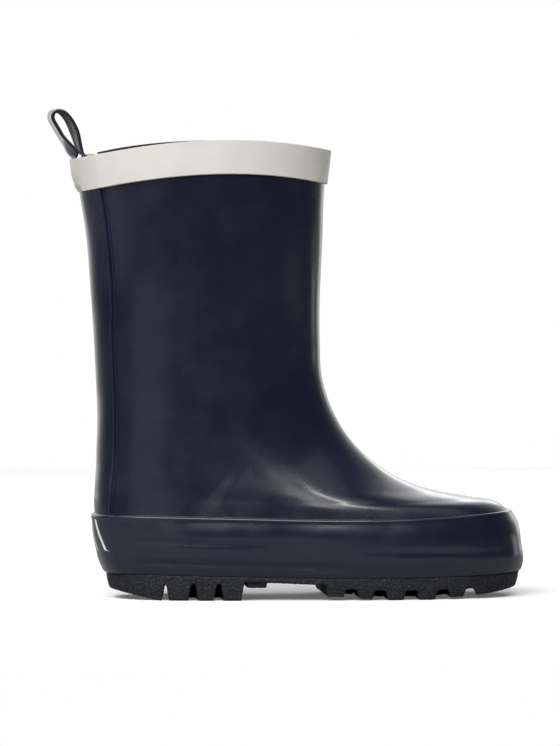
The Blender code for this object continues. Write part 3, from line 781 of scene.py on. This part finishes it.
def make_back_strip(material):
    """The strip down the back seam, its long edges rolled down on to the upper."""
    half = spaced(0.0, U_STAY, *STAY_ACROSS)
    half = half[half >= STAY_MIDDLE]
    u = np.concatenate([-half[::-1], [0.0], half])
    t = rows_up(AT["side_low"], STAY_TOP, STAY_ROWS)
    inside = (U_STAY - np.abs(u)) * per_turn(U_STAY, t)
    base = relief(u, t)
    height = (GAP + STAY) * rounded(inside, *STAY_ROUND)
    strip = shell_piece("back_strip", u, t, base - BONDED, base + height, material, False)
    finished(strip, "boot", "navy_rubber", "back_stay")


def crease_depth(u, t):
    """Creases and swells along the foxing, from the heights and places in the tables."""
    point = skin_point(u, t)
    x, z = point[..., 0], point[..., 2]
    total = 0.0
    for rear_z, front_z, width, depth, start, end, fade in CREASES:
        along = np.clip((x - start) / (end - start), 0.0, 1.0)
        line = rear_z + (front_z - rear_z) * along
        shown = smooth((x - start) / fade) * smooth((end - x) / fade)
        total = total - depth * shown * bell(z - line, width)
    for line, width, height in SWELLS:
        total = total + height * bell(z - line, width)
    return total


def foxing_out(u, t):
    """The outer face of the band round the foot: a lip at the top and a rounded foot."""
    top = AT["foxing_top"] - t
    swell = FOXING_SWELL * over_stay(u, t)
    rise, place, half, reach = TOE_SWELL
    toe = rise * bell(t - place, half) * bell(u - U_TOE, reach)
    depth, height, reach = TOE_TUCK
    toe = toe - depth * smooth(1 - top / height) * bell(u - U_TOE, reach)
    full = GAP + FOXING + swell + toe + waves(FOXING_WAVES, u, t) + crease_depth(u, t)
    bead = LIP_BEAD * bell(top - LIP_ROUND[0], LIP_ROUND[0])
    foot = 1 - FOXING_FOOT_IN * (1 - rounded(t, FOXING_FOOT_ROUND))
    return (full + bead) * rounded(top, *LIP_ROUND) * foot


def make_foxing(material):
    """The band round the foot, which steps up over the back stay."""
    u = ring_columns()
    t = rows_up(AT["sole_edge"], AT["foxing_top"], FOXING_ROWS)
    base = relief(u, t)
    raised = (GAP + STAY) * over_stay(u, t)
    outer = np.maximum(foxing_out(u, t), base + raised)
    band = shell_piece("foxing", u, t, base - BONDED, outer, material, True)
    finished(band, "boot", "navy_rubber", "foxing_band")


def trim_out(u, t):
    """The outer face of the pale band, which steps up over the stay and the strap's end."""
    raised = GAP + (STAY + GAP) * over_stay(u, t, TRIM_SHOULDER)
    height, place, half, reach = TRIM_BULGE
    above = t - TRIM_T
    raised = raised + height * bell(above - place, half) * bell(from_seam(u), reach)
    depth, height, reach, fade = TRIM_TUCK
    raised = raised - depth * smooth(1 - above / height) * smooth((reach - from_seam(u)) / fade)
    step, place, width = TRIM_LAP
    lap = step * smooth((from_seam(u) - place) * per_turn(place, RIM_T) / width)
    lap = np.where((u > 0) & (u < U_TOE), lap, step)
    return raised + TRIM - step + lap + TRIM_WAVINESS * waves(FOXING_WAVES, u, t)


def make_rim_band(material):
    """The pale band round the rim, over the stay and the strap's outer end."""
    u = ring_columns()
    t = rows_up(TRIM_T, RIM_T, TRIM_ROWS)
    base = relief(u, t)
    inner = base + GAP / 2 + (STAY + GAP) * over_stay(u, t)
    inner = np.where(t < STAY_TOP + GAP, base + GAP / 2, inner)
    inner = np.minimum(inner, trim_out(u, t) - TRIM)
    low = np.minimum(inner, base)
    share = rounded(t - TRIM_T, *TRIM_ROUND)
    outer = low + (trim_out(u, t) - low) * share
    band = shell_piece("rim_band", u, t, low, outer, material, True)
    top_row = slice((len(t) - 1) * len(u), len(t) * len(u))  # of the outside
    for vertex in band.data.vertices[top_row]:
        vertex.co.z += TRIM_CREST * MM
    finished(band, "boot", "pale_rubber", "top_trim_band")


# --- the cloth pieces and the insole ---


FOOT_LEVEL = AT["side_low"] * 0.6  # where the foot's outline is taken for the pieces inside
WALL_IN = UPPER + GAP + PLY + GAP  # from the skin to the lining below the ankle
RIM_FACE = UPPER + GAP + LINING + GAP  # from the skin to what is sewn on inside the rim


def lining_bottom(x):
    """Height of the sock's underside, on the board and the wedge."""
    wedge = WEDGE * smooth((WEDGE_END - x) / WEDGE_END)
    return height_at(0, x) + UPPER + GAP + wedge + BOARD + GAP


def insole_bottom(x):
    return lining_bottom(x) + LINING + GAP


def lining_out(t):
    """The lining lies inside the plies as far as the ankle, and on the upper above it."""
    low, high = AT["ankle"], AT["leg"]
    return -(UPPER + GAP) - (PLY + GAP) * smooth((high - t) / (high - low))


def make_lining(material):
    """A knitted sock with a closed bottom, its top edge rolled over at the rim."""
    u = np.arange(LINING_COLUMNS) / LINING_COLUMNS
    t = rows_up(AT["side_low"], RIM_T, LINING_ROWS)
    wrinkle = LINING_WRINKLE * np.minimum(waves(LINING_WAVES, u, t), 0.0)
    edge = LINING / 2 * (1 - rounded(RIM_T - t, LINING / 2))
    outer = skin(u, t, lining_out(t) - edge)
    inner = skin(u, t, lining_out(t) - LINING + edge + wrinkle)
    under = foot_ring(u, FOOT_LEVEL, -WALL_IN, lining_bottom)
    over = foot_ring(u, FOOT_LEVEL, -WALL_IN - LINING, lambda x: lining_bottom(x) + LINING)
    heights = np.concatenate([[0.0], t[:, 0], t[::-1, 0], [0.0]])
    rings = [under, *outer, *inner[::-1], over]
    sock = ring_stack("lining", rings, material, (cloth_lengths(u), heights))
    finished(sock, "boot", "lining_cotton", "lining_sock")


def lift_top(obj, lift, share):
    """Raises the piece's top by lift mm, fading out below it. share says how much of that each
    point gets from its x and y in mm."""
    depth = TAPE_LIFT_DEPTH
    for vertex in obj.data.vertices:
        x, y, z = Vector(vertex.co) / MM + Vector(ORIGIN)
        top = smooth((z - height_at(-1, x) + depth) / depth)
        vertex.co.z += lift * MM * share(x, y) * top


def make_rim_tape(material):
    """The binding inside the rim, from one edge of the patch round to the other."""
    u = np.linspace(U_STAY, 1 - U_STAY, TAPE_COLUMNS)
    t = rows_up(STAY_TOP, RIM_T, TAPE_ROWS)
    edge = np.minimum(t - STAY_TOP, RIM_T - t)
    ends = (u - U_STAY) * (1 - U_STAY - u) * per_turn(U_STAY, RIM_T) * 2
    share = rounded(np.minimum(edge, ends), *TAPE_ROUND)
    outer = -RIM_FACE + BONDED
    inner = -RIM_FACE - TAPE * share + TAPE_WAVINESS * waves(LINING_WAVES, u, t)
    tape = shell_piece("rim_tape", u, t, inner, outer, material, False)

    def far_and_rear(x, y):
        return float(y > 0) * smooth((TAPE_LIFT_END - x) / TAPE_LIFT_END)

    lift_top(tape, TAPE_LIFT, far_and_rear)
    finished(tape, "boot", "navy_binding", "rim_binding")


def make_inner_patch(material):
    """The cotton patch sewn over the loop's inner end, which stands out through it."""
    low = (AT["leg_high"] + TRIM_T) / 2
    u = np.linspace(-U_PATCH, U_PATCH, PATCH_COLUMNS)
    t = rows_up(low, RIM_T, TAPE_ROWS)
    over = smooth((U_TAIL - np.abs(u)) * per_turn(0.0, RIM_T) / PATCH_SHOULDER + 1)
    over = over * smooth((t - TRIM_T) / PATCH_SHOULDER + 1)
    edge = np.minimum(t - low, RIM_T - t)
    edge = np.minimum(edge, (U_PATCH - np.abs(u)) * per_turn(0.0, RIM_T))
    outer = -RIM_FACE - (STRAP + GAP) * over
    inner = outer - TAPE * rounded(edge, *TAPE_ROUND)
    patch = shell_piece("inner_patch", u, t, inner, outer + BONDED, material, False)
    lift_top(patch, PATCH_LIFT, lambda x, _: smooth((PATCH_LIFT_END - x) / PATCH_LIFT_SLOPE))
    finished(patch, "boot", "lining_cotton", "loop_patch")


def make_insole(foam, cloth):
    """The loose insole: a foam bed with rolled edges, and the cloth drawn over its top."""
    u = np.arange(INSOLE_COLUMNS) / INSOLE_COLUMNS
    edge = WALL_IN + LINING + INSOLE_PLAY

    def ring(inset, lift):
        return foot_ring(u, FOOT_LEVEL, -edge - inset, lambda x: insole_bottom(x) + lift)

    def crowned(low, high, roll):
        rings = []
        for angle in np.linspace(0, math.pi, INSOLE_EDGE_STEPS):
            lift = (low + high) / 2 - (high - low) / 2 * math.cos(angle)
            rings.append(ring(roll * (1 - math.sin(angle)), lift))
        for inset in INSOLE_INSETS:
            drop = INSOLE_CROWN * smooth((inset - roll) / INSOLE_INSETS[-1])
            rings.append(ring(inset, high - drop))
        return rings

    bed = ring_stack("insole_bed", crowned(0.0, FOAM, FOAM_ROLL), foam)
    finished(bed, "insole", "foam", "insole_foam")
    rings = crowned(FOAM + GAP / 3, FOAM + GAP + COVER, COVER_ROLL)
    top = ring_stack("insole_cloth", rings, cloth)
    finished(top, "insole", "insole_cloth", "insole_cover")


# --- the pull loop ---


def curve_through(points, steps):
    """A smooth line (Catmull-Rom) through the points, with that many steps between each two."""
    points = np.asarray(points, float)
    ends = [2 * points[0] - points[1], *points, 2 * points[-1] - points[-2]]
    line = []
    for a, b, c, d in zip(ends, ends[1:], ends[2:], ends[3:]):
        for r in np.arange(steps) / steps:
            line.append(
                0.5 * (2 * b + (c - a) * r + (2 * a - 5 * b + 4 * c - d) * r**2
                       + (3 * b - a - 3 * c + d) * r**3)
            )
    return np.array([*line, points[-1]])


def loop_line():
    """The strap's middle line in x and z: up the outside of the rim, round the loop, and down
    the inside."""
    up = [STAY_TOP + GAP, (STAY_TOP + RIM_T) / 2 + GAP, RIM_T]
    down = [RIM_T, (TRIM_T + RIM_T) / 2, TRIM_T]
    outside = [skin(0.0, t, GAP + STRAP / 2)[[0, 2]] for t in up]
    outside[-1][0] -= RIM_LEAN
    inside = [skin(0.0, t, -RIM_FACE - STRAP / 2)[[0, 2]] for t in down]
    return curve_through([*outside, *LOOP_POINTS, *inside], LOOP_STEPS)


def make_strap(name, half_width, low, high, span, material):
    """A stretch of the strap between two offsets from its middle line, with rounded edges. span
    is from and to, as shares of the line."""
    line = loop_line()
    direction = np.gradient(line, axis=0)
    direction /= np.linalg.norm(direction, axis=1, keepdims=True)
    across = np.stack([-direction[:, 1], direction[:, 0]], axis=1)
    count = len(line)
    keep = slice(*(round(share * count) for share in span))
    line, across, shares = line[keep], across[keep], (np.arange(count) / count)[keep]
    y = spaced(-half_width, half_width, *STRAP_ACROSS)
    rows = np.arange(len(line))
    swell = strap_swell(shares)[:, None]
    middle, half = (low + high) / 2 * swell, (high - low) / 2 * swell
    share = rounded(half_width - np.abs(y), *STRAP_ROUND)
    cap = rounded(np.minimum(rows, rows[::-1]) * STRAP_END_STEP, *STRAP_END_ROUND)
    faces = []
    for side in (1, -1):
        offset = middle + side * half * share * cap[:, None]
        offset = offset + STRAP_CURL * (y[None, :] / half_width) ** 2
        xz = line[:, None, :] + across[:, None, :] * offset[..., None]
        points = np.stack([xz[..., 0], np.broadcast_to(y, offset.shape), xz[..., 1]], axis=-1)
        faces.append(wrapped(twisted(points, shares), shares))
    strap = slab_piece(name, *faces, material, (y, rows * STRAP_STEP))
    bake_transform(strap)
    return strap


def strap_swell(shares):
    """How many times its plain thickness the strap has."""
    extra, swell_from, swell_full = STRAP_SWELL
    from_end = 0.5 - np.abs(shares - 0.5)
    return 1 + extra * smooth((from_end - swell_from) / (swell_full - swell_from))


def twisted(points, shares):
    """Turns the strap a little, so that its faces show from the side."""
    angles = np.radians(np.interp(shares, *zip(*LOOP_TWISTS)))
    turned = points.copy()
    turned[..., 0] -= points[..., 1] * np.tan(angles)[:, None]
    return turned


def wrapped(points, shares):
    """Bends the strap round the wall at the rim and below it."""
    outer, inner = STRAP_FLAT
    low = np.where(shares < 0.5, outer[0], inner[0])[:, None]
    high = np.where(shares < 0.5, outer[1], inner[1])[:, None]
    rear_x, front_x, half_width = COLUMNS[-1][[0, 2, 6]]
    back = (front_x - rear_x) / 2 * (1 - np.sqrt(1 - (points[..., 1] / half_width) ** 2))
    bent = points.copy()
    bent[..., 0] += back * smooth((high - points[..., 2]) / (high - low))
    return bent


def make_pull_loop(rubber, canvas):
    half = STRAP_WIDTH / 2
    strap = make_strap("pull_strap", half, -STRAP / 2, STRAP / 2, (0.0, 1.0), rubber)
    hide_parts("pull_loop_strap", "loop_outer_end", "loop_inner_end")
    low, high = -STRAP / 2 - CANVAS, -STRAP / 2 + BONDED
    backing = make_strap("pull_canvas", half - CANVAS_IN, low, high, CANVAS_SPAN, canvas)
    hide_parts("pull_loop_backing")


# --- the sole and the heel mark ---


def rocker(points):
    """How far the forefoot's lugs stand off the ground towards the arch and the toe, in metres."""
    (rear, flat_rear), (front, flat_front), rear_rise, front_rise = ROCKER
    x = points[:, 0] / MM + ORIGIN[0]
    rise = rear_rise * smooth((flat_rear - x) / (flat_rear - rear))
    rise = rise + front_rise * smooth((x - flat_front) / (front - flat_front))
    rise = np.where(x < ROCKER_FROM, 0.0, rise)
    return rise * MM * smooth(1 - points[:, 2] / MM / ROCKER_TOP)


def vectors(elements, name):
    """That vector of each of a mesh's elements, in rows."""
    flat = np.empty(len(elements) * 3)
    elements.foreach_get(name, flat)
    return flat.reshape(-1, 3)


def make_tread(material):
    """The outsole, with its corners moulded round and its faces pebbled."""
    source = NODES["outsole"]
    rough = link(bpy.data.objects.new("tread_rough", source.data.copy()))
    remesh = rough.modifiers.new("remesh", "REMESH")
    remesh.mode = "VOXEL"
    remesh.voxel_size = SOLE_VOXEL * MM
    soften = rough.modifiers.new("soften", "SMOOTH")
    soften.factor = 0.5
    soften.iterations = SOLE_SMOOTHING
    graph = bpy.context.evaluated_depsgraph_get()
    mesh = bpy.data.meshes.new_from_object(rough.evaluated_get(graph))
    bpy.data.objects.remove(rough)
    mesh.name = "tread"
    mesh.materials.clear()
    mesh.materials.append(material)
    mesh.shade_smooth()
    points = vectors(mesh.vertices, "co")
    normals = vectors(mesh.vertex_normals, "vector")
    size = SOLE_GRAIN_SIZE * MM
    nearest = np.array([noise.voronoi(Vector(p / size))[0][0] for p in points])
    points += normals * (SOLE_GRAIN * MM * (SOLE_GRAIN_LEVEL - nearest))[:, None]
    points[:, 2] = np.maximum(points[:, 2], 0.0) + rocker(points)
    mesh.vertices.foreach_set("co", points.ravel())
    tread = link(bpy.data.objects.new("tread", mesh))
    finished(tread, "boot", "sole_rubber", "outsole")


def make_heel_mark(material):
    """Plain slanted bars round the back of the foxing, printed on it."""
    low, high = MARK_HEIGHT
    t = rows_up(low - MARK_GROUND, high - MARK_GROUND, MARK_ROWS)
    rows = np.linspace(-1, 1, len(t))[:, None]
    columns = np.linspace(-1, 1, MARK_COLUMNS)
    edge = MARK_WIDTH / 2 * (1 - np.abs(columns))
    for number in range(MARK_BARS):
        place = MARK_FIRST + number * MARK_PITCH
        half = MARK_WIDTH / 2 / per_turn(place, t)
        u = place - MARK_LEAN * rows / 2 + half * columns
        base = foxing_out(u, t)
        outside = skin(u, t, base + MARK_THICK * rounded(edge, *MARK_ROUND))
        inside = skin(u, t, base - BONDED)
        bar = slab_piece(f"heel_bar_{number + 1}", outside, inside, material)
        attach(bar, "boot")


# --- the studio ---


def make_camera():
    low, high = (Vector(corner) for corner in CAD_BOX)
    aim = (low + high) / 2 + Vector(CAMERA_AIM) * MM
    forward = Vector((
        math.sin(CAMERA_AZIMUTH) * math.cos(CAMERA_DOWN),
        math.cos(CAMERA_AZIMUTH) * math.cos(CAMERA_DOWN),
        -math.sin(CAMERA_DOWN),
    ))
    data = bpy.data.cameras.new("camera")
    data.lens = LENS
    camera = link(bpy.data.objects.new("camera", data))
    camera.location = aim - forward * CAMERA_DISTANCE * MM
    camera.rotation_mode = "QUATERNION"
    camera.rotation_quaternion = forward.to_track_quat("-Z", "Y")
    bpy.context.scene.camera = camera


def make_world():
    """A pale studio: the boot sees a bright backdrop behind and above, and a dim room in front.
    The camera sees plain white."""
    world = bpy.data.worlds.new("studio")
    bpy.context.scene.world = world
    world.use_nodes = True
    tree = world.node_tree
    place = add_node(tree, "ShaderNodeTexCoord", "Generated", {}, {})
    towards = add_node(
        tree, "ShaderNodeVectorMath", "Value", {1: BACKDROP}, {0: place}, operation="DOT_PRODUCT"
    )
    room = add_ramp(tree, towards, [(position, [level] * 3) for position, level in ROOM_LEVELS])
    camera_ray = add_node(tree, "ShaderNodeLightPath", "Is Camera Ray", {}, {})
    links = {"Factor": camera_ray, "A": room}
    seen = add_node(tree, "ShaderNodeMix", "Result", {"B": WHITE}, links, data_type="RGBA")
    tree.links.new(seen, tree.nodes["Background"].inputs["Color"])


def make_floor():
    """A white floor, which the boot sees much dimmer than the camera does."""
    (left, right), (front, back) = np.array(FLOOR) * MM
    points = [(left, front, 0), (right, front, 0), (right, back, 0), (left, back, 0)]
    mesh = bpy.data.meshes.new("floor")
    mesh.from_pydata(points, [], [(0, 1, 2, 3)])
    material = bpy.data.materials.new("floor")
    material.use_nodes = True
    tree = material.node_tree
    shader = tree.nodes["Principled BSDF"]
    shader.inputs["Roughness"].default_value = 0.9
    shader.inputs["Emission Color"].default_value = FLOOR_TINT
    camera_ray = add_node(tree, "ShaderNodeLightPath", "Is Camera Ray", {}, {})
    levels = (
        ("Base Color", FLOOR_REFLECTED, FLOOR_SEEN),
        ("Emission Strength", 0.0, FLOOR_GLOW),
    )
    for name, other, seen in levels:
        values = {"To Min": other, "To Max": seen}
        level = add_node(tree, "ShaderNodeMapRange", "Result", values, {"Value": camera_ray})
        tree.links.new(level, shader.inputs[name])
    mesh.materials.append(material)
    link(bpy.data.objects.new("floor", mesh))


def make_lights():
    middle = Vector(LIGHTS_AIM) * MM
    for number, (place, width, height, watts) in enumerate(LIGHTS):
        data = bpy.data.lights.new(f"softbox_{number}", "AREA")
        data.shape = "RECTANGLE"
        data.size = width * MM
        data.size_y = height * MM
        data.energy = watts
        light = link(bpy.data.objects.new(f"softbox_{number}", data))
        light.location = middle + Vector(place) * MM
        light.rotation_mode = "QUATERNION"
        light.rotation_quaternion = (middle - light.location).to_track_quat("-Z", "Y")


def main():
    make_camera()
    make_world()
    make_floor()
    make_lights()
    bpy.context.scene.view_settings.view_transform = "Standard"
    navy = navy_rubber()
    pale = pale_rubber()
    tan = knit("tan_knit", *TAN_KNIT, pitch=1.3, depth=0.22)
    make_upper(navy)
    make_back_strip(navy)
    make_foxing(navy)
    make_rim_band(pale)
    make_tread(sole_rubber())
    make_heel_mark(mark_paint())
    make_lining(tan)
    make_inner_patch(woven("tan_cotton", *TAN_COTTON, pitch=0.7, depth=0.1))
    make_rim_tape(woven("navy_tape", *NAVY_TAPE, pitch=0.7, depth=0.12))
    foam = crumbly("foam", *PALE_FOAM, size=0.9, depth=0.25, roughness=0.9)
    make_insole(foam, woven("insole_cloth", *INSOLE_CLOTH, pitch=0.8, depth=0.1))
    make_pull_loop(navy, woven("olive_canvas", *OLIVE_CANVAS, pitch=0.6, depth=0.1))
    gum = crumbly("gum_rubber", *GUM, size=1.5, depth=0.1, roughness=0.7)
    board = crumbly("pressed_board", *PRESSED_BOARD, size=0.8, depth=0.08, roughness=0.85)
    inner = (("bottom_filler", gum), ("heel_wedge", gum), ("heel_counter", gum),
             ("vamp_reinforcement", gum), ("insole_board", board))
    for node, material in inner:
        NODES[node].data.materials[0] = material


main()
